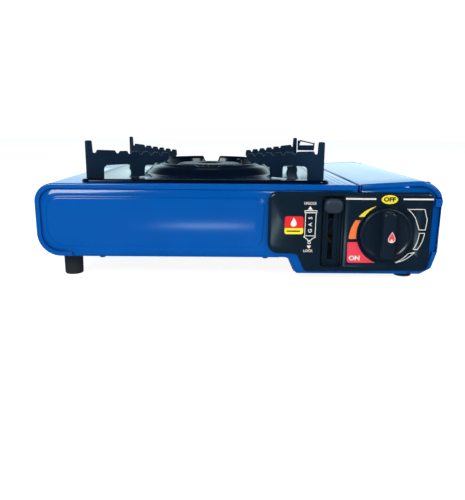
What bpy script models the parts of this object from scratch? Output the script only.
"""Portable single-burner butane stove, built from its separate pieces.

The stove stands on the ground plane with its bounding box centred over the
origin. +X is the cartridge side, +Y is the back, +Z is up. Every driving
dimension is a named constant in millimetres, and the meshes are metres.
"""

import math

import bmesh
import bpy
from mathutils import Matrix, Vector

MM = 0.001

# Case
FRONT = -127.0
REAR = 143.0
SHEET = 0.6
RIM = 4.2
TOP = 83.0
LEFT = -172.6
RIGHT = 172.2
SEAM = 100.6
LID_SEAM = 102.0
BAY_FLOOR = 6.2
LEFT_FLOOR = 20.2
PARTITION = 98.0

# Cartridge bay: a 67 mm cartridge lies along Y
CARTRIDGE_X = 134.7
CARTRIDGE_Z = 44.8
CARTRIDGE_RADIUS = 33.5

# Lid hinge
HINGE_X = 170.2
HINGE_Z = 70.0
KNUCKLE_RADIUS = 2.3
LID_KNUCKLES = ((-126.8, -94.0), (-7.0, 23.0), (110.0, 142.8))
SIDE_KNUCKLES = ((-93.4, -7.6), (23.6, 109.4))

# Control panel and knob
PANEL_FACE = -130.0
PANEL_BACK = -127.3
CHANNEL_BACK = -124.6
KNOB_X = 125.0
KNOB_Z = 42.5
KNOB_RADIUS = 22.0
KNOB_TIP = -143.0
CAM_START = 7.0
CAM_RISE = 5.2
CAM_TURN = math.radians(130.0)

# Lock lever
LEVER_X = 79.1
LEVER_PIVOT_Y = -70.0
LEVER_PIVOT_Z = 48.0
LEVER_KNOB_Z = 66.2

# Burner and pan support
BURNER_X = -28.6
BURNER_Y = -12.4
TUBE_Z = 64.0
INJECTOR = (66.0, -62.0)
TRAY_HALF = 107.0
TRAY_BOTTOM = 83.3
FIN_OUTER = 101.6
FIN_THICKNESS = 1.4
POST_TOP = 118.0
FIN_TOP = 110.0

MATERIALS = {}


# ---------------------------------------------------------------- materials

def make_material(name, colour, roughness, metallic=0.0):
    """Return a Principled material with one plain colour."""
    material = bpy.data.materials.new(name)
    material.use_nodes = True
    material.diffuse_color = (*colour, 1.0)
    shader = material.node_tree.nodes["Principled BSDF"]
    shader.inputs["Base Color"].default_value = (*colour, 1.0)
    shader.inputs["Roughness"].default_value = roughness
    shader.inputs["Metallic"].default_value = metallic
    return material


FINISHES = {
    "blue_paint": ((0.005, 0.11, 0.46), 0.28, 0.0),
    "black_enamel": ((0.012, 0.013, 0.016), 0.22, 0.0),
    "black_plastic": ((0.015, 0.017, 0.022), 0.35, 0.0),
    "rubber": ((0.02, 0.02, 0.022), 0.8, 0.0),
    "zinc_steel": ((0.55, 0.56, 0.57), 0.38, 1.0),
    "spring_steel": ((0.42, 0.42, 0.44), 0.32, 1.0),
    "cast_aluminium": ((0.66, 0.67, 0.68), 0.42, 1.0),
    "die_cast_zinc": ((0.48, 0.49, 0.5), 0.45, 1.0),
    "brass": ((0.72, 0.52, 0.2), 0.3, 1.0),
    "copper": ((0.78, 0.42, 0.26), 0.3, 1.0),
    "ceramic": ((0.86, 0.85, 0.8), 0.45, 0.0),
    "red_lead": ((0.5, 0.03, 0.03), 0.5, 0.0),
}


# ------------------------------------------------------------- mesh helpers

def add_mesh(name, points, faces):
    """Make an object from points in millimetres, with its faces turned out."""
    mesh = bpy.data.meshes.new(name)
    mesh.from_pydata([tuple(value * MM for value in point) for point in points], [], faces)
    work = bmesh.new()
    work.from_mesh(mesh)
    bmesh.ops.recalc_face_normals(work, faces=work.faces)
    work.to_mesh(mesh)
    work.free()
    item = bpy.data.objects.new(name, mesh)
    bpy.context.scene.collection.objects.link(item)
    return item


def combine(item, tool, operation):
    """Join or cut one object with another and keep the result in the first."""
    modifier = item.modifiers.new(operation.title(), "BOOLEAN")
    modifier.object = tool
    modifier.operation = operation
    modifier.solver = "EXACT"
    graph = bpy.context.evaluated_depsgraph_get()
    result = bpy.data.meshes.new_from_object(item.evaluated_get(graph))
    item.modifiers.clear()
    item.data = result
    bpy.data.objects.remove(tool)
    return item


def cut(item, *tools):
    """Cut every tool out of an object."""
    for tool in tools:
        combine(item, tool, "DIFFERENCE")
    return item


def join(item, *tools):
    """Fuse every tool into an object."""
    for tool in tools:
        combine(item, tool, "UNION")
    return item


def finish(item, name, finish_name, origin=None, smooth=None):
    """Name an object, give it its own material, and place its origin."""
    item.name = name
    item.data.name = name
    item.data.materials.clear()
    colour, roughness, metallic = FINISHES[finish_name]
    item.data.materials.append(make_material(f"{finish_name}_{name}", colour, roughness, metallic))
    if origin is not None:
        shift = Vector(origin) * MM
        item.data.transform(Matrix.Translation(-shift))
        item.location = shift
    for face in item.data.polygons:
        face.use_smooth = smooth is not None
    if smooth is not None:
        item.data.set_sharp_from_angle(angle=math.radians(smooth))
    return item


def to_space(axis, first, second, along):
    """Return a point from two plane coordinates and one along the axis."""
    if axis == "X":
        return (along, first, second)
    if axis == "Y":
        return (first, along, second)
    return (first, second, along)


def prism(axis, outline, low, high, top_outline=None):
    """Extrude an outline along an axis, tapering to a second outline if given."""
    count = len(outline)
    upper = top_outline or outline
    points = [to_space(axis, a, b, low) for a, b in outline]
    points += [to_space(axis, a, b, high) for a, b in upper]
    faces = [tuple(range(count)), tuple(range(count, 2 * count))]
    for index in range(count):
        after = (index + 1) % count
        faces.append((index, after, count + after, count + index))
    return add_mesh("prism", points, faces)


def box(x_low, x_high, y_low, y_high, z_low, z_high):
    """Return a rectangular block."""
    outline = [(x_low, y_low), (x_high, y_low), (x_high, y_high), (x_low, y_high)]
    return prism("Z", outline, z_low, z_high)


def circle(first, second, radius, count):
    """Return the points of a regular polygon round a centre."""
    step = 2.0 * math.pi / count
    return [(first + radius * math.cos(index * step), second + radius * math.sin(index * step))
            for index in range(count)]


def cylinder(axis, first, second, radius, low, high, count=16):
    """Return a cylinder along an axis."""
    return prism(axis, circle(first, second, radius, count), low, high)


def fillet(corners, closed=True, steps=4):
    """Round the corners of an outline given as (a, b, radius)."""
    count = len(corners)
    result = []
    for index, (a, b, radius) in enumerate(corners):
        ends = not closed and index in (0, count - 1)
        if radius <= 0.0 or ends:
            result.append((a, b))
            continue
        here = Vector((a, b))
        before = (Vector(corners[index - 1][:2]) - here).normalized()
        after = (Vector(corners[(index + 1) % count][:2]) - here).normalized()
        half = before.angle(after) / 2.0
        reach = radius / math.tan(half)
        centre = here + (before + after).normalized() * radius / math.sin(half)
        start = here + before * reach - centre
        sweep = (here + after * reach - centre).angle_signed(start)
        for step in range(steps + 1):
            turn = Matrix.Rotation(sweep * step / steps, 2)
            point = centre + turn @ start
            result.append((point.x, point.y))
    return result


def offset(path, distance, closed):
    """Move a path to its left by a distance, mitring the corners."""
    count = len(path)
    result = []
    for index in range(count):
        here = Vector(path[index])
        back = here - Vector(path[index - 1])
        ahead = Vector(path[(index + 1) % count]) - here
        if not closed and index == 0:
            back = ahead
        if not closed and index == count - 1:
            ahead = back
        left = Vector((-back.y, back.x)).normalized() + Vector((-ahead.y, ahead.x)).normalized()
        left.normalize()
        side = Vector((-ahead.y, ahead.x)).normalized()
        point = here + left * distance / max(left.dot(side), 0.3)
        result.append((point.x, point.y))
    return result


def channel(path, section):
    """Sweep a (y, inset) section along an open path in the XZ plane."""
    rows = [offset(path, inset, False) for _, inset in section]
    width = len(section)
    points = []
    for index in range(len(path)):
        for column, (y, _) in enumerate(section):
            points.append((rows[column][index][0], y, rows[column][index][1]))
    faces = [tuple(range(width)), tuple(range(len(points) - width, len(points)))]
    for index in range(len(path) - 1):
        for column in range(width):
            beside = (column + 1) % width
            first = index * width
            second = first + width
            faces.append((first + column, first + beside, second + beside, second + column))
    return add_mesh("channel", points, faces)


def flanged(front, rear, rim, thickness=SHEET):
    """Return the section of a sheet with an inturned rim at both ends."""
    return [(front, 0.0), (rear, 0.0), (rear, rim), (rear - thickness, rim),
            (rear - thickness, thickness), (front + thickness, thickness),
            (front + thickness, rim), (front, rim)]


def lathe(profile, axis, centre, count=24):
    """Turn a closed (radius, height) profile round an axis through a centre."""
    points = []
    rings = []
    for radius, height in profile:
        if radius < 1e-6:
            rings.append([len(points)] * count)
            points.append(to_space(axis, *centre, height))
        else:
            rings.append(list(range(len(points), len(points) + count)))
            points += [to_space(axis, a, b, height) for a, b in circle(*centre, radius, count)]
    faces = []
    for lower, upper in zip(rings, rings[1:] + rings[:1]):
        for index in range(count):
            after = (index + 1) % count
            corners = [lower[index], lower[after], upper[after], upper[index]]
            unique = list(dict.fromkeys(corners))
            if len(unique) > 2:
                faces.append(tuple(unique))
    return add_mesh("lathe", points, faces)


def tube(path, radius, sides=8, bore=0.0):
    """Sweep a round section along a 3-D path, hollow when a bore is given."""
    path = [Vector(point) for point in path]
    normal = (path[1] - path[0]).orthogonal().normalized()
    points = []
    radii = [radius] if bore <= 0.0 else [radius, bore]
    for index, here in enumerate(path):
        back = path[max(index - 1, 0)]
        ahead = path[min(index + 1, len(path) - 1)]
        tangent = (ahead - back).normalized()
        normal = (normal - tangent * normal.dot(tangent)).normalized()
        beside = tangent.cross(normal)
        for size in radii:
            for a, b in circle(0.0, 0.0, size, sides):
                points.append(tuple(here + normal * a + beside * b))
    faces = []
    width = sides * len(radii)
    last = width * (len(path) - 1)
    for ring in range(len(path) - 1):
        for layer in range(len(radii)):
            for side in range(sides):
                first = ring * width + layer * sides
                after = (side + 1) % sides
                faces.append((first + side, first + after,
                              first + width + after, first + width + side))
    if bore > 0.0:
        for first in (0, last):
            for side in range(sides):
                after = (side + 1) % sides
                faces.append((first + side, first + after,
                              first + sides + after, first + sides + side))
    else:
        faces.append(tuple(range(sides)))
        faces.append(tuple(range(last, last + sides)))
    return add_mesh("tube", points, faces)


def smooth_path(points, steps=5):
    """Return a Catmull-Rom curve through the points."""
    knots = [Vector(point) for point in points]
    knots = [knots[0] * 2 - knots[1]] + knots + [knots[-1] * 2 - knots[-2]]
    result = []
    for a, b, c, d in zip(knots, knots[1:], knots[2:], knots[3:]):
        for step in range(steps):
            t = step / steps
            result.append(0.5 * (2 * b + (c - a) * t + (2 * a - 5 * b + 4 * c - d) * t * t
                                 + (3 * b - a - 3 * c + d) * t ** 3))
    result.append(knots[-2])
    return result


def ring_loft(loops):
    """Skin closed loops of equal length into one ring-shaped solid."""
    count = len(loops[0])
    points = [point for loop in loops for point in loop]
    faces = []
    for row in range(len(loops)):
        below = row * count
        above = ((row + 1) % len(loops)) * count
        for index in range(count):
            after = (index + 1) % count
            faces.append((below + index, below + after, above + after, above + index))
    return add_mesh("ring", points, faces)


def screw(name, axis, first, second, seat, length, side):
    """Make a pan-head screw: its head stands off the seat towards the side."""
    head = [(0.0, seat + side * 1.9), (2.1, seat + side * 1.7), (3.0, seat + side * 0.8),
            (3.0, seat), (1.4, seat), (1.4, seat - side * length), (0.0, seat - side * length)]
    return finish(lathe(head, axis, (first, second), 10), name, "zinc_steel", smooth=40)


# --------------------------------------------------------------- steel case

def make_body_shell():
    """Top, left side and lower left lip: one folded sheet with end rims."""
    path = fillet([(SEAM, 76.5, 0), (SEAM, TOP, 0), (LEFT, TOP, 16.3),
                   (LEFT + 0.4, LEFT_FLOOR, 19.8), (-142.6, LEFT_FLOOR, 0)], False, 6)
    shell = channel(path, flanged(FRONT, REAR, RIM))
    opening = cylinder("Z", BURNER_X, BURNER_Y, 70.0, 75.0, 90.0, 40)
    finish(cut(shell, opening), "body_shell", "blue_paint", smooth=35)


def panel_outline():
    """Return the outline shared by the front and rear panels."""
    return fillet([(-170.9, 21.5, 18.9), (-142.2, 21.5, 0), (-142.2, 20.4, 0), (44.0, 20.4, 7),
                   (50.5, 6.2, 3), (147.6, 6.2, 0), (147.6, 7.6, 0), (157.2, 7.6, 3),
                   (166.4, 12.4, 4), (170.7, 26.0, 8), (170.7, 64.6, 0), (167.0, 67.2, 0),
                   (167.0, 77.0, 3), (160.5, 81.5, 3), (103.8, 81.5, 0),
                   (103.8, 76.0, 0), (98.6, 76.0, 0), (98.6, 81.5, 0), (-170.9, 81.5, 15.6)])


def make_front_panel():
    """Front sheet with a pressed-out field and an opening for the lever."""
    y = FRONT + 1.3
    panel = prism("Y", panel_outline(), y, y + SHEET)
    field = fillet([(-164.0, 28.2, 17), (21.5, 28.2, 9), (24.0, 72.5, 9), (-164.0, 72.5, 13)],
                   True, 6)
    crown = offset(field, 1.6, True)
    join(panel, prism("Y", field, y + 0.3, FRONT, crown))
    cut(panel, prism("Y", offset(field, 1.0, True), y + 1.5, FRONT + 0.7,
                     offset(crown, 1.0, True)))
    join(panel, box(-130.0, 36.0, y + 0.3, y + 10.0, 20.2, 20.8))
    cut(panel, box(67.5, 92.5, y - 5, y + 5, 9.5, 76.2))
    cut(panel, cylinder("Y", KNOB_X, KNOB_Z, 6.0, y - 5, y + 5, 16))
    for x in (-118.0, 24.0):
        cut(panel, cylinder("Z", x, FRONT + 6.5, 1.8, 15, 25, 12))
    finish(panel, "front_panel", "blue_paint", smooth=30)


def make_rear_panel():
    """Rear sheet with two rows of cooling slots."""
    y = REAR - 2.3
    panel = prism("Y", panel_outline(), y - SHEET, y)
    for row in range(2):
        for column in range(6):
            x = -112.0 + column * 30.0
            z = 46.0 + row * 16.0
            slot = [(x - 10, z), (x - 8, z - 2.2), (x + 8, z - 2.2), (x + 10, z),
                    (x + 8, z + 2.2), (x - 8, z + 2.2)]
            cut(panel, prism("Y", slot, y - 4, y + 4))
    for x in (-100.0, 20.0, 120.0):
        cut(panel, cylinder("Y", x, 27.5, 1.8, y - 5, y + 5, 12))
    finish(panel, "rear_panel", "blue_paint", smooth=30)


def base_path():
    """Return the XZ run of the stepped base sheet, from left to right."""
    return fillet([(-152.0, 21.7, 0), (43.4, 21.7, 5), (49.2, 7.7, 3), (156.4, 7.7, 0)], False, 4)


def make_base_plate():
    """Galvanised stepped base with upturned edges and air slots."""
    low, high = FRONT + 2.7, REAR - 3.7
    section = [(low, SHEET), (high, SHEET), (high, -7.0), (high - SHEET, -7.0),
               (high - SHEET, 0.0), (low + SHEET, 0.0), (low + SHEET, -7.0), (low, -7.0)]
    path = list(reversed(base_path()))
    plate = channel(path, section)
    for column in range(6):
        x = -115.0 + column * 24.0
        for y in (-70.0, 60.0):
            cut(plate, box(x - 2.5, x + 2.5, y - 18, y + 18, 18, 26))
    for x in (-118.0, 24.0):
        cut(plate, cylinder("Z", x, FRONT + 6.5, 1.8, 15, 30, 12))
    for x in (-100.0, 20.0):
        cut(plate, cylinder("Y", x, 27.5, 1.8, 130, 150, 12))
    finish(plate, "base_plate", "zinc_steel", smooth=30)


def make_right_side_panel():
    """Right side sheet with the fixed knuckles of the lid hinge."""
    path = fillet([(150.0, BAY_FLOOR, 0), (158.2, BAY_FLOOR, 3), (167.8, 11.4, 4),
                   (RIGHT - 0.2, 25.5, 9), (RIGHT - 0.1, 70.0, 0)], False, 4)
    side = channel(path, flanged(FRONT, REAR, RIM))
    for low, high in SIDE_KNUCKLES:
        join(side, cylinder("Y", HINGE_X, HINGE_Z, KNUCKLE_RADIUS, low, high, 16))
    cuts = [(-130.0, SIDE_KNUCKLES[0][0]), (SIDE_KNUCKLES[0][1], SIDE_KNUCKLES[1][0]),
            (SIDE_KNUCKLES[1][1], 150.0)]
    for low, high in cuts:
        cut(side, box(160.0, 180.0, low, high, 67.3, 80.0))
    cut(side, cylinder("Y", HINGE_X, HINGE_Z, 1.35, -130, 150, 12))
    finish(side, "right_side_panel", "blue_paint", smooth=35)


def make_cartridge_lid():
    """Hinged lid over the cartridge bay; it curls round the hinge rod."""
    path = [(RIGHT, 70.0), (172.0, 73.6), (170.8, 76.8), (168.0, 80.4), (164.6, 83.2),
            (160.6, 85.4), (156.0, 86.6), (150.0, 86.7), (104.0, 83.7), (LID_SEAM, 83.4),
            (LID_SEAM, 77.4)]
    lid = channel(path, flanged(FRONT, REAR, RIM))
    for low, high in LID_KNUCKLES:
        join(lid, cylinder("Y", HINGE_X, HINGE_Z, KNUCKLE_RADIUS, low, high, 16))
    cuts = [(-130.0, LID_KNUCKLES[0][0]), (LID_KNUCKLES[0][1], LID_KNUCKLES[1][0]),
            (LID_KNUCKLES[1][1], LID_KNUCKLES[2][0]), (LID_KNUCKLES[2][1], 150.0)]
    for low, high in cuts:
        cut(lid, box(160.0, 180.0, low, high, 60.0, 72.7))
    cut(lid, cylinder("Y", HINGE_X, HINGE_Z, 1.35, -130, 150, 12))
    finish(lid, "cartridge_lid", "blue_paint", (HINGE_X, 8.0, HINGE_Z), 35)


def make_partition_wall():
    """Upright wall between the burner side and the cartridge bay."""
    wall = box(PARTITION, PARTITION + SHEET, FRONT + 4.2, REAR - 5.2, 8.1, 81.6)
    join(wall, box(PARTITION - 8, PARTITION + 0.5, FRONT + 4.2, REAR - 5.2, 8.1, 8.9))
    cuts = [box(90, 105, 112.0, 136.0, 56.5, 66.5),
            box(90, 105, 18.0, 62.0, 25.5, 34.5),
            cylinder("X", -82.0, 30.0, 3.2, 90, 105, 12),
            cylinder("X", -106.0, 73.4, 2.2, 90, 105, 12),
            cylinder("X", LEVER_PIVOT_Y, LEVER_PIVOT_Z, 2.3, 90, 105, 12)]
    cut(wall, *cuts)
    finish(wall, "partition_wall", "zinc_steel")


def make_feet():
    """Two tall feet under the left side and two low ones under the right."""
    for x, height, side in ((-148.3, 19.9, "left"), (150.0, 5.9, "right")):
        for y, end in ((-104.5, "front"), (118.0, "rear")):
            top = height
            foot = lathe([(0, 0), (7.4, 0), (8.0, 0.8), (8.3, top), (0, top)], "Z", (x, y), 20)
            finish(foot, f"foot_{end}_{side}", "rubber", smooth=40)


# ------------------------------------------------------------ control group

def fascia_outline(inset, radius):
    """Return the control panel's outline moved in by a distance."""
    corners = [(25.4, 24.6), (50.8, 23.6), (57.6, 8.2), (164.6, 9.4), (164.6, 77.5), (25.4, 77.5)]
    moved = offset(corners, inset, True)
    return fillet([(x, z, radius) for x, z in moved], True, 3)


def make_control_panel():
    """Moulded fascia with a lever channel and the knob opening."""
    panel = prism("Y", fascia_outline(0.0, 4.0), PANEL_BACK, PANEL_FACE, fascia_outline(2.8, 2.6))
    hollow = prism("Y", fascia_outline(2.2, 3.0), PANEL_BACK + 2.0, PANEL_FACE + 1.2,
                   fascia_outline(4.2, 2.0))
    cut(panel, hollow)
    join(panel, box(69.3, 90.9, PANEL_FACE + 0.4, CHANNEL_BACK, 11.6, 75.0))
    cut(panel, box(70.6, 89.6, PANEL_FACE - 2, CHANNEL_BACK - 1.0, 13.2, 74.0))
    cut(panel, box(77.0, 81.2, PANEL_FACE - 2, CHANNEL_BACK + 5, 18.7, 72.6))
    join(panel, box(71.5, 76.0, -128.0, CHANNEL_BACK - 0.5, 12.6, 18.0))
    cut(panel, cylinder("Y", KNOB_X, KNOB_Z, 4.2, PANEL_FACE - 5, CHANNEL_BACK, 20))
    finish(panel, "control_panel", "black_plastic", smooth=30)


def make_knob_group():
    """Knob, valve spindle, retaining nut and the cam that fires the igniter."""
    disc = lathe([(0, PANEL_FACE - 0.6), (21.0, PANEL_FACE - 0.6), (22.0, PANEL_FACE - 1.4),
                  (22.0, PANEL_FACE - 4.2), (21.0, PANEL_FACE - 5.2), (19.4, PANEL_FACE - 5.2),
                  (18.6, PANEL_FACE - 4.0), (0, PANEL_FACE - 4.0)], "Y", (KNOB_X, KNOB_Z), 32)
    grip = fillet([(KNOB_X - 6.6, KNOB_Z - 20.6, 5), (KNOB_X + 6.6, KNOB_Z - 20.6, 5),
                   (KNOB_X + 6.6, KNOB_Z + 20.6, 5), (KNOB_X - 6.6, KNOB_Z + 20.6, 5)], True, 4)
    join(disc, prism("Y", grip, PANEL_FACE - 3.0, KNOB_TIP, offset(grip, 1.1, True)))
    cut(disc, cylinder("Y", KNOB_X, KNOB_Z, 3.4, PANEL_FACE - 9.0, PANEL_FACE + 5, 16))
    finish(disc, "control_knob", "black_plastic", (KNOB_X, PANEL_FACE, KNOB_Z), 35)

    spindle = lathe([(0, -138.6), (3.0, -138.6), (3.0, -88.0), (0, -88.0)], "Y",
                    (KNOB_X, KNOB_Z), 16)
    finish(spindle, "valve_spindle", "brass", (KNOB_X, -110.0, KNOB_Z), 40)

    rim = []
    for step in range(27):
        share = step / 26.0
        angle = -CAM_TURN * share
        radius = CAM_START + CAM_RISE * share
        rim.append((KNOB_X + radius * math.cos(angle), KNOB_Z + radius * math.sin(angle)))
    for step in range(1, 7):
        share = step / 7.0
        angle = -CAM_TURN - (2.0 * math.pi - CAM_TURN) * share
        radius = CAM_START + CAM_RISE * (1.0 - share) ** 2
        rim.append((KNOB_X + radius * math.cos(angle), KNOB_Z + radius * math.sin(angle)))
    cam = prism("Y", rim, -119.0, -114.0)
    cut(cam, cylinder("Y", KNOB_X, KNOB_Z, 3.3, -125, -105, 16))
    finish(cam, "igniter_cam", "black_plastic", (KNOB_X, -116.5, KNOB_Z))


def make_igniter():
    """Piezo igniter, its plunger, bracket, high-tension lead and spark gap."""
    tip = KNOB_X + CAM_START + 0.3
    plunger = lathe([(0, tip), (1.4, tip + 0.5), (2.2, tip + 1.8), (2.2, 150.5), (0, 150.5)],
                    "X", (-116.5, KNOB_Z), 14)
    finish(plunger, "igniter_plunger", "black_plastic", (tip, -116.5, KNOB_Z), 40)
    body = box(143.4, 165.0, -121.0, -112.0, 38.0, 47.0)
    cut(body, cylinder("X", -116.5, KNOB_Z, 2.6, 140.0, 158.0, 14))
    join(body, cylinder("Z", 160.0, -116.5, 2.2, 46.0, 50.0, 12))
    finish(body, "piezo_igniter", "black_plastic")
    bracket = box(142.5, 166.0, FRONT + 2.7, FRONT + 3.7, 30.0, 56.0)
    join(bracket, box(142.5, 166.0, FRONT + 3.2, -113.0, 36.6, 37.6))
    finish(bracket, "igniter_bracket", "zinc_steel")

    path = smooth_path([(160.0, -116.5, 50.4), (159.0, -116.0, 62.0), (148.0, -112.5, 73.0),
                        (125.0, -108.5, 77.6), (98.5, -106.0, 73.4), (82.0, -104.0, 77.6),
                        (58.0, -96.0, 74.0), (42.0, -76.0, 62.0), (30.0, -44.0, 44.0),
                        (15.0, -8.0, 36.0), (5.4, 5.2, 39.0), (4.57, 6.75, 46.8)], 3)
    finish(tube(path, 1.2, 6), "ignition_lead", "red_lead", smooth=60)
    spot = (BURNER_X + 38.3 * math.cos(math.radians(30.0)),
            BURNER_Y + 38.3 * math.sin(math.radians(30.0)))
    ceramic = lathe([(1.1, 49.5), (2.4, 49.5), (2.4, 54.0), (3.1, 54.4), (3.1, 56.0), (2.4, 56.4),
                     (2.4, 88.0), (1.6, 90.0), (1.1, 90.0)], "Z", spot, 12)
    finish(ceramic, "electrode_ceramic", "ceramic", smooth=40)
    wire = smooth_path([(spot[0], spot[1], 47.2), (spot[0], spot[1], 75.0),
                        (spot[0], spot[1], 92.5), (spot[0] - 1.0, spot[1] - 0.6, 95.5),
                        (spot[0] - 4.2, spot[1] - 2.4, 96.4)], 2)
    finish(tube(wire, 0.75, 6), "spark_electrode", "spring_steel", smooth=60)
    clip = prism("Z", fillet([(-14.0, -8.0, 2), (spot[0] + 6, spot[1] - 6, 3),
                              (spot[0] + 6, spot[1] + 6, 3), (-14.0, 6.0, 2)], True, 3),
                 52.1, 53.1)
    cut(clip, cylinder("Z", spot[0], spot[1], 2.8, 45, 65, 12))
    finish(clip, "electrode_clip", "zinc_steel")


def make_lock_lever():
    """Lever, its knob and pins, and the slide that pushes the cartridge."""
    y, z = LEVER_PIVOT_Y, LEVER_PIVOT_Z
    outline = fillet([(y + 7.5, z - 7.0, 6), (y + 11.5, z + 17.5, 4), (y - 1.5, z + 19.5, 4),
                      (y - 8.5, z + 6.5, 3), (-124.5, 70.6, 2), (-132.6, 70.6, 0),
                      (-132.6, 61.8, 0), (-124.5, 61.8, 4), (y - 6.5, z - 7.0, 6)], True, 4)
    plate = prism("X", outline, LEVER_X - 1.0, LEVER_X + 1.0)
    cut(plate, cylinder("X", y, z, 2.3, 70, 90, 14))
    cut(plate, cylinder("X", y + 4.1, z + 13.4, 1.8, 70, 90, 12))
    finish(plate, "lock_lever", "zinc_steel", (LEVER_X, y, z))

    knob = prism("Y", fillet([(71.2, 60.1, 4), (87.0, 60.1, 4), (87.0, 72.5, 4),
                              (71.2, 72.5, 4)], True, 3), -130.6, -136.6,
                 fillet([(72.2, 61.1, 3.4), (86.0, 61.1, 3.4), (86.0, 71.5, 3.4),
                         (72.2, 71.5, 3.4)], True, 3))
    cut(knob, box(LEVER_X - 1.35, LEVER_X + 1.35, -133.0, -128.0, 61.4, 71.0))
    finish(knob, "lever_knob", "black_plastic", (LEVER_X, y, z), 35)

    pin = lathe([(0, 76.4), (3.4, 76.4), (3.4, 77.8), (2.0, 77.8), (2.0, 80.7), (3.2, 80.7),
                 (3.2, 97.7), (2.0, 97.7), (2.0, 99.3), (3.2, 99.3), (3.2, 100.3), (0, 100.3)],
                "X", (y, z), 14)
    finish(pin, "lever_pivot_pin", "zinc_steel", smooth=40)
    drive = lathe([(0, 77.0), (2.6, 77.0), (2.6, 77.8), (1.5, 77.8), (1.5, 80.4), (1.5, 95.4),
                   (0, 95.4)], "X", (y + 4.1, z + 13.4), 12)
    finish(drive, "lever_drive_pin", "zinc_steel", (LEVER_X, y, z), 40)

    slide = box(92.8, 94.4, y - 6.0, 132.4, 57.2, 65.6)
    join(slide, box(93.6, 138.0, 130.8, 132.4, 57.2, 65.6))
    join(slide, box(112.0, 158.0, 130.8, 132.4, 26.0, 65.6))
    cut(slide, prism("X", fillet([(y + 2.4, 58.6, 1.6), (y + 5.8, 58.6, 1.6),
                                  (y + 5.8, 64.2, 1.6), (y + 2.4, 64.2, 1.6)], True, 3), 90, 97))
    finish(slide, "cartridge_pusher", "zinc_steel", (94.0, 132.0, 61.4))
    for name, y_mid in (("front", -20.0), ("rear", 85.0)):
        guide = box(91.2, 97.7, y_mid - 6, y_mid + 6, 55.6, 56.8)
        join(guide, box(91.2, 92.4, y_mid - 6, y_mid + 6, 55.6, 67.2))
        join(guide, box(91.2, 97.7, y_mid - 6, y_mid + 6, 66.0, 67.2))
        finish(guide, f"pusher_guide_{name}", "zinc_steel")


# ---------------------------------------------------------------- gas group

def make_regulator():
    """Pressure regulator with its diaphragm, spring, cover and gas inlet."""
    block = prism("Y", fillet([(106.0, 22.0, 4), (150.0, 22.0, 4), (150.0, 56.0, 4),
                               (106.0, 56.0, 4)], True, 3), -100.0, -66.0)
    join(block, cylinder("Z", 128.0, -83.0, 17.0, 50.0, 59.0, 20))
    join(block, cylinder("Y", KNOB_X, KNOB_Z, 7.0, -106.0, -95.0, 20))
    join(block, cylinder("X", -82.0, 30.0, 4.5, 103.5, 110.0, 16))
    cut(block, cylinder("Y", KNOB_X, KNOB_Z, 3.4, -110.0, -86.0, 16))
    cut(block, cylinder("Y", CARTRIDGE_X, CARTRIDGE_Z, 2.6, -78.0, -60.0, 14))
    cut(block, cylinder("X", -82.0, 30.0, 2.8, 100.0, 114.0, 14))
    for x, z in ((112.0, 30.0), (144.5, 27.5)):
        cut(block, cylinder("Y", x, z, 1.8, -78.0, -60.0, 12))
    finish(block, "regulator_body", "die_cast_zinc", smooth=35)

    gland = lathe([(3.9, -111.0), (8.0, -111.0), (8.0, -106.3), (3.9, -106.3)], "Y",
                  (KNOB_X, KNOB_Z), 6)
    finish(gland, "spindle_nut", "brass")
    disc = lathe([(0, 59.3), (16.4, 59.3), (16.4, 60.1), (0, 60.1)], "Z", (128.0, -83.0), 20)
    finish(disc, "regulator_diaphragm", "rubber", smooth=40)
    cover = lathe([(17.0, 60.4), (17.0, 63.0), (12.0, 65.0), (10.5, 73.0), (8.5, 75.0), (0, 75.0),
                   (0, 73.8), (7.8, 73.8), (9.4, 72.4), (10.8, 64.0), (15.6, 62.0),
                   (15.6, 60.4)], "Z", (128.0, -83.0), 20)
    finish(cover, "regulator_cover", "die_cast_zinc", smooth=40)
    coil = []
    turns = 4
    for step in range(turns * 8 + 1):
        angle = step * math.pi / 4.0
        coil.append((128.0 + 6.0 * math.cos(angle), -83.0 + 6.0 * math.sin(angle),
                     61.2 + 11.6 * step / (turns * 8)))
    finish(tube(coil, 0.6, 5), "regulator_spring", "spring_steel", smooth=60)

    nozzle = lathe([(1.2, -76.0), (2.3, -76.0), (2.3, -65.7), (5.0, -65.7), (5.0, -60.5),
                    (2.0, -60.5), (2.0, -56.6), (1.2, -56.6)], "Y",
                   (CARTRIDGE_X, CARTRIDGE_Z), 16)
    finish(nozzle, "gas_inlet_nozzle", "brass", smooth=40)
    seal = lathe([(2.3, -60.2), (4.6, -60.2), (4.6, -58.2), (2.3, -58.2)], "Y",
                 (CARTRIDGE_X, CARTRIDGE_Z), 16)
    finish(seal, "inlet_seal", "rubber", smooth=40)
    plate = box(100.3, 166.0, -65.4, -64.2, 14.0, 74.0)
    cut(plate, cylinder("Y", CARTRIDGE_X, CARTRIDGE_Z, 11.0, -70, -60, 24))
    for x, z in ((112.0, 30.0), (144.5, 27.5)):
        cut(plate, cylinder("Y", x, z, 1.8, -70.0, -60.0, 12))
    join(plate, box(132.4, 137.0, -65.4, -59.0, 56.6, 57.8))
    join(plate, box(100.3, 101.3, -65.4, -50.0, 14.0, 74.0))
    finish(plate, "cartridge_stop_plate", "zinc_steel")
    screw("regulator_screw_1", "Y", 112.0, 30.0, -63.9, 12.0, 1.0)
    screw("regulator_screw_2", "Y", 144.5, 27.5, -63.9, 12.0, 1.0)


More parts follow.
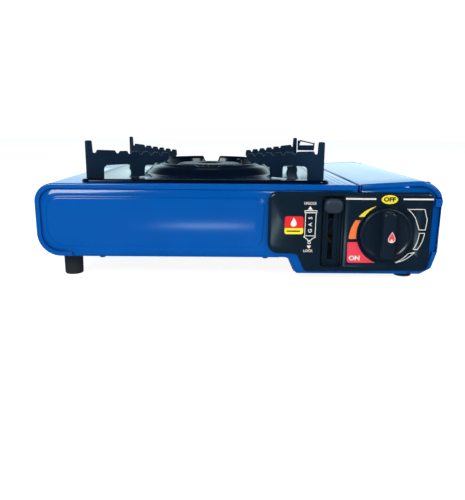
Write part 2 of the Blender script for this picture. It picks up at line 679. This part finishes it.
def make_gas_line():
    """Gas pipe from the regulator to the injector, and its union nut."""
    path = [(106.0, -82.0, 30.0), (96.0, -82.0, 30.0)]
    path += smooth_path([(86.0, -82.0, 30.0), (77.5, -80.5, 30.2), (73.0, -76.5, 37.0),
                         (72.8, -71.5, 50.0), (72.8, -66.6, 60.4), (68.0, -62.96, TUBE_Z),
                         (59.0, -58.25, TUBE_Z)], 3)
    finish(tube(path, 2.3, 8), "gas_pipe", "copper", smooth=60)
    nut = lathe([(3.1, 103.1), (5.4, 103.1), (5.4, 100.0), (3.1, 100.0)], "X", (-82.0, 30.0), 6)
    finish(nut, "pipe_nut", "brass")


def place_along(item, start, direction):
    """Turn an object built along +X about the origin onto a direction."""
    turn = Vector(direction).to_track_quat("X", "Z").to_matrix().to_4x4()
    item.data.transform(Matrix.Translation(Vector(start) * MM) @ turn)
    return item


def make_burner():
    """Mixing tube, burner bowl, slotted cap and the stand they rest on."""
    direction = Vector((INJECTOR[0] - BURNER_X, INJECTOR[1] - BURNER_Y, 0.0)).normalized()
    axis_start = (BURNER_X, BURNER_Y, TUBE_Z)

    bowl = lathe([(0, 52.1), (13.0, 52.1), (14.0, 54.0), (14.0, 70.0), (31.0, 79.0),
                  (35.0, 84.0), (35.0, 86.0), (31.5, 86.0), (30.0, 83.0), (12.0, 73.0),
                  (10.0, 70.0), (10.0, 55.0), (0, 55.0)], "Z", (BURNER_X, BURNER_Y), 28)
    socket = place_along(cylinder("X", 0, 0, 11.0, 10.5, 24.0, 20), axis_start, direction)
    join(bowl, socket)
    bore = place_along(cylinder("X", 0, 0, 8.6, 0.0, 30.0, 20), axis_start, direction)
    cut(bowl, bore)
    finish(bowl, "burner_bowl", "cast_aluminium", smooth=35)

    cap_loops = []
    count = 60
    sections = [(35.6, 86.5, 0.0), (35.2, 88.4, 1.8), (32.6, 93.0, 1.8), (13.0, 94.0, 0.0),
                (10.0, 92.2, 0.0), (2.0, 92.2, 0.0), (2.0, 89.8, 0.0), (28.5, 90.4, 0.0),
                (30.6, 86.5, 0.0)]
    for radius, height, groove in sections:
        loop = []
        for index in range(count):
            angle = 2.0 * math.pi * index / count
            depth = groove if index % 2 else 0.0
            loop.append((BURNER_X + (radius - depth) * math.cos(angle),
                         BURNER_Y + (radius - depth) * math.sin(angle), height))
        cap_loops.append(loop)
    finish(ring_loft(cap_loops), "burner_cap", "cast_aluminium", smooth=35)

    venturi = lathe([(10.8, 24.4), (8.0, 52.0), (8.0, 62.0), (12.5, 84.0), (12.5, 90.0),
                     (11.5, 90.0), (11.5, 84.4), (7.0, 62.2), (7.0, 51.8), (9.8, 24.4)],
                    "X", (0, 0), 20)
    tube_item = place_along(venturi, axis_start, direction)
    finish(tube_item, "mixing_tube", "zinc_steel", smooth=40)

    jet = lathe([(0.4, 84.0), (2.2, 84.0), (3.4, 87.0), (3.4, 95.4), (5.0, 95.4), (5.0, 99.0),
                 (4.0, 99.0), (4.0, 108.0), (2.8, 108.0), (2.8, 97.0), (0.4, 97.0)],
                "X", (0, 0), 12)
    finish(place_along(jet, axis_start, direction), "injector_nozzle", "brass", smooth=30)
    holder = box(93.6, 95.0, -8.0, 8.0, 8.1 - TUBE_Z, 12.0)
    join(holder, box(93.6, 104.0, -8.0, 8.0, 8.1 - TUBE_Z, 9.1 - TUBE_Z))
    cut(holder, cylinder("X", 0, 0, 3.8, 88, 99, 12))
    finish(place_along(holder, axis_start, direction), "injector_bracket", "zinc_steel")

    path = [(-72.6, 22.0), (-58.6, 22.0), (-54.6, 50.4), (-2.6, 50.4), (1.4, 22.0), (15.4, 22.0)]
    stand = channel(path, [(BURNER_Y - 13, 0.0), (BURNER_Y + 13, 0.0), (BURNER_Y + 13, 1.2),
                           (BURNER_Y - 13, 1.2)])
    finish(stand, "burner_stand", "zinc_steel")


def make_heat_plate():
    """Aluminium strip that carries burner heat to the cartridge cradle."""
    radius = CARTRIDGE_RADIUS + 1.0
    path = [(12.0, 48.0), (36.0, 36.0), (60.0, 30.0), (101.5, 30.0)]
    for step in range(11):
        angle = math.radians(207.0 + step * 11.2)
        path.append((CARTRIDGE_X + radius * math.cos(angle),
                     CARTRIDGE_Z + radius * math.sin(angle)))
    strip = channel(path, [(20.0, 0.0), (60.0, 0.0), (60.0, -1.0), (20.0, -1.0)])
    finish(strip, "heat_plate", "cast_aluminium", smooth=35)


# -------------------------------------------------------------- pan support

def rounded_square(half, radius, height, count):
    """Return a loop round the burner axis, square with rounded corners."""
    loop = []
    for index in range(count):
        angle = 2.0 * math.pi * index / count
        c, s = math.cos(angle), math.sin(angle)
        reach = half / max(abs(c), abs(s))
        inner = half - radius
        x, y = c * reach, s * reach
        if abs(x) > inner and abs(y) > inner:
            corner = Vector((math.copysign(inner, x), math.copysign(inner, y)))
            along = Vector((c, s))
            gap = corner.dot(along)
            depth = gap * gap - corner.length_squared + radius * radius
            reach = gap + math.sqrt(max(depth, 0.0))
            x, y = c * reach, s * reach
        loop.append((BURNER_X + x, BURNER_Y + y, height))
    return loop


def ring_loop(radius, height, count, share=0.0):
    """Return a circular loop; its front half and a rear notch drop by a share."""
    loop = []
    for index in range(count):
        angle = 2.0 * math.pi * index / count
        drop = 0.0
        if math.sin(angle) < -0.12:
            drop = 5.4 if abs(math.cos(angle)) < 0.2 else 4.2
        elif math.sin(angle) > 0.0 and abs(math.cos(angle)) < 0.16:
            drop = 5.4
        loop.append((BURNER_X + radius * math.cos(angle), BURNER_Y + radius * math.sin(angle),
                     height - drop * share))
    return loop


def make_drip_tray():
    """Square enamelled tray with a rolled edge and a raised windshield ring."""
    n = 48
    low = TRAY_BOTTOM
    loops = [rounded_square(TRAY_HALF - 1.6, 8.0, low, n),
             rounded_square(TRAY_HALF, 9.5, low + 0.6, n),
             rounded_square(TRAY_HALF, 9.5, low + 2.2, n),
             rounded_square(TRAY_HALF - 1.4, 8.0, low + 2.8, n),
             rounded_square(TRAY_HALF - 5.0, 7.0, low + 1.0, n),
             ring_loop(66.4, low + 1.0, n),
             ring_loop(51.0, 97.2, n, 1.0), ring_loop(49.6, 98.4, n, 1.0),
             ring_loop(47.4, 98.4, n, 1.0), ring_loop(46.6, 97.0, n, 1.0),
             ring_loop(43.0, low - 2.0, n), ring_loop(44.2, low - 2.0, n),
             ring_loop(48.6, 96.6, n, 1.0), ring_loop(50.2, 95.6, n, 1.0),
             ring_loop(66.0, low, n)]
    finish(ring_loft(loops), "drip_tray", "black_enamel", smooth=35)


def fin_outline():
    """Return the fin profile as (inset along one axis, height) pairs."""
    outline = [(1.4, 84.7), (0.0, 86.4), (0.0, POST_TOP), (4.4, POST_TOP), (4.9, 108.6),
               (5.4, 107.6), (6.8, 107.6), (7.8, FIN_TOP), (20.2, FIN_TOP - 0.9)]
    valleys = ((22.5, 106.6), (31.6, 105.7), (40.2, 104.8), (48.5, 104.0), (56.6, 103.5))
    crests = ((24.6, 29.4, 108.3), (33.7, 38.2, 107.5), (42.6, 46.3, 106.9),
              (50.8, 54.4, 106.1), (58.7, 62.0, 105.4))
    for (x, z), (left, right, top) in zip(valleys, crests):
        outline += [(x - 0.7, z), (x + 0.7, z), (left, top), (right, top)]
    outline += [(63.1, 103.6), (63.2, 99.8), (61.4, 97.4), (57.2, 96.6), (46.0, 95.6),
                (43.6, 94.0), (42.6, 84.7), (32.4, 84.7), (32.2, 94.2), (30.6, 96.4),
                (14.6, 96.4), (12.6, 94.4), (12.0, 84.7)]
    return outline


def make_pan_support():
    """Four upright fins on the tray's diagonals that carry the pan."""
    base = [(math.sqrt(2.0) * (FIN_OUTER - inset), height) for inset, height in fin_outline()]
    names = {(-1, -1): "front_left", (1, -1): "front_right",
             (-1, 1): "rear_left", (1, 1): "rear_right"}
    for (sx, sy), name in names.items():
        fin = prism("Y", base, -FIN_THICKNESS / 2.0, FIN_THICKNESS / 2.0)
        fin = place_along(fin, (BURNER_X, BURNER_Y, 0.0), (sx, sy, 0.0))
        finish(fin, f"pan_fin_{name}", "black_enamel")


def make_lid_tab():
    """Looped tab beside the rear right post, which tells the lid the tray is the right way up."""
    x = BURNER_X + FIN_OUTER + 1.2
    y = BURNER_Y + FIN_OUTER - 0.6
    tab = prism("Y", [(x, 103.0), (x + 20.2, 103.0), (x + 20.8, 113.0), (x + 19.8, 111.8),
                      (x + 3.6, 115.4), (x, 114.6)], y - 0.7, y + 0.7)
    cut(tab, prism("Y", [(x + 2.2, 109.3), (x + 19.0, 109.3), (x + 19.0, 110.6),
                         (x + 3.6, 113.8)], y - 5, y + 5))
    finish(tab, "lid_tab", "black_enamel")


def make_hinge_rod():
    """Rod through the lid hinge knuckles."""
    rod = cylinder("Y", HINGE_X, HINGE_Z, 1.0, -125.0, 141.0, 14)
    finish(rod, "lid_hinge_rod", "zinc_steel", smooth=40)


def make_screws():
    """Screws that hold the front and rear panels to the base plate."""
    screw("base_screw_1", "Z", -118.0, FRONT + 6.5, 20.1, 6.0, -1.0)
    screw("base_screw_2", "Z", 24.0, FRONT + 6.5, 20.1, 6.0, -1.0)
    for index, x in enumerate((-100.0, 20.0, 120.0)):
        screw(f"rear_screw_{index + 1}", "Y", x, 27.5, REAR - 2.0, 6.0, 1.0)


def main():
    """Clear the file and build every piece of the stove."""
    for item in list(bpy.data.objects):
        bpy.data.objects.remove(item)
    make_body_shell()
    make_front_panel()
    make_rear_panel()
    make_base_plate()
    make_right_side_panel()
    make_cartridge_lid()
    make_partition_wall()
    make_feet()
    make_control_panel()
    make_knob_group()
    make_igniter()
    make_lock_lever()
    make_regulator()
    make_gas_line()
    make_burner()
    make_heat_plate()
    make_drip_tray()
    make_pan_support()
    make_lid_tab()
    make_hinge_rod()
    make_screws()


main()
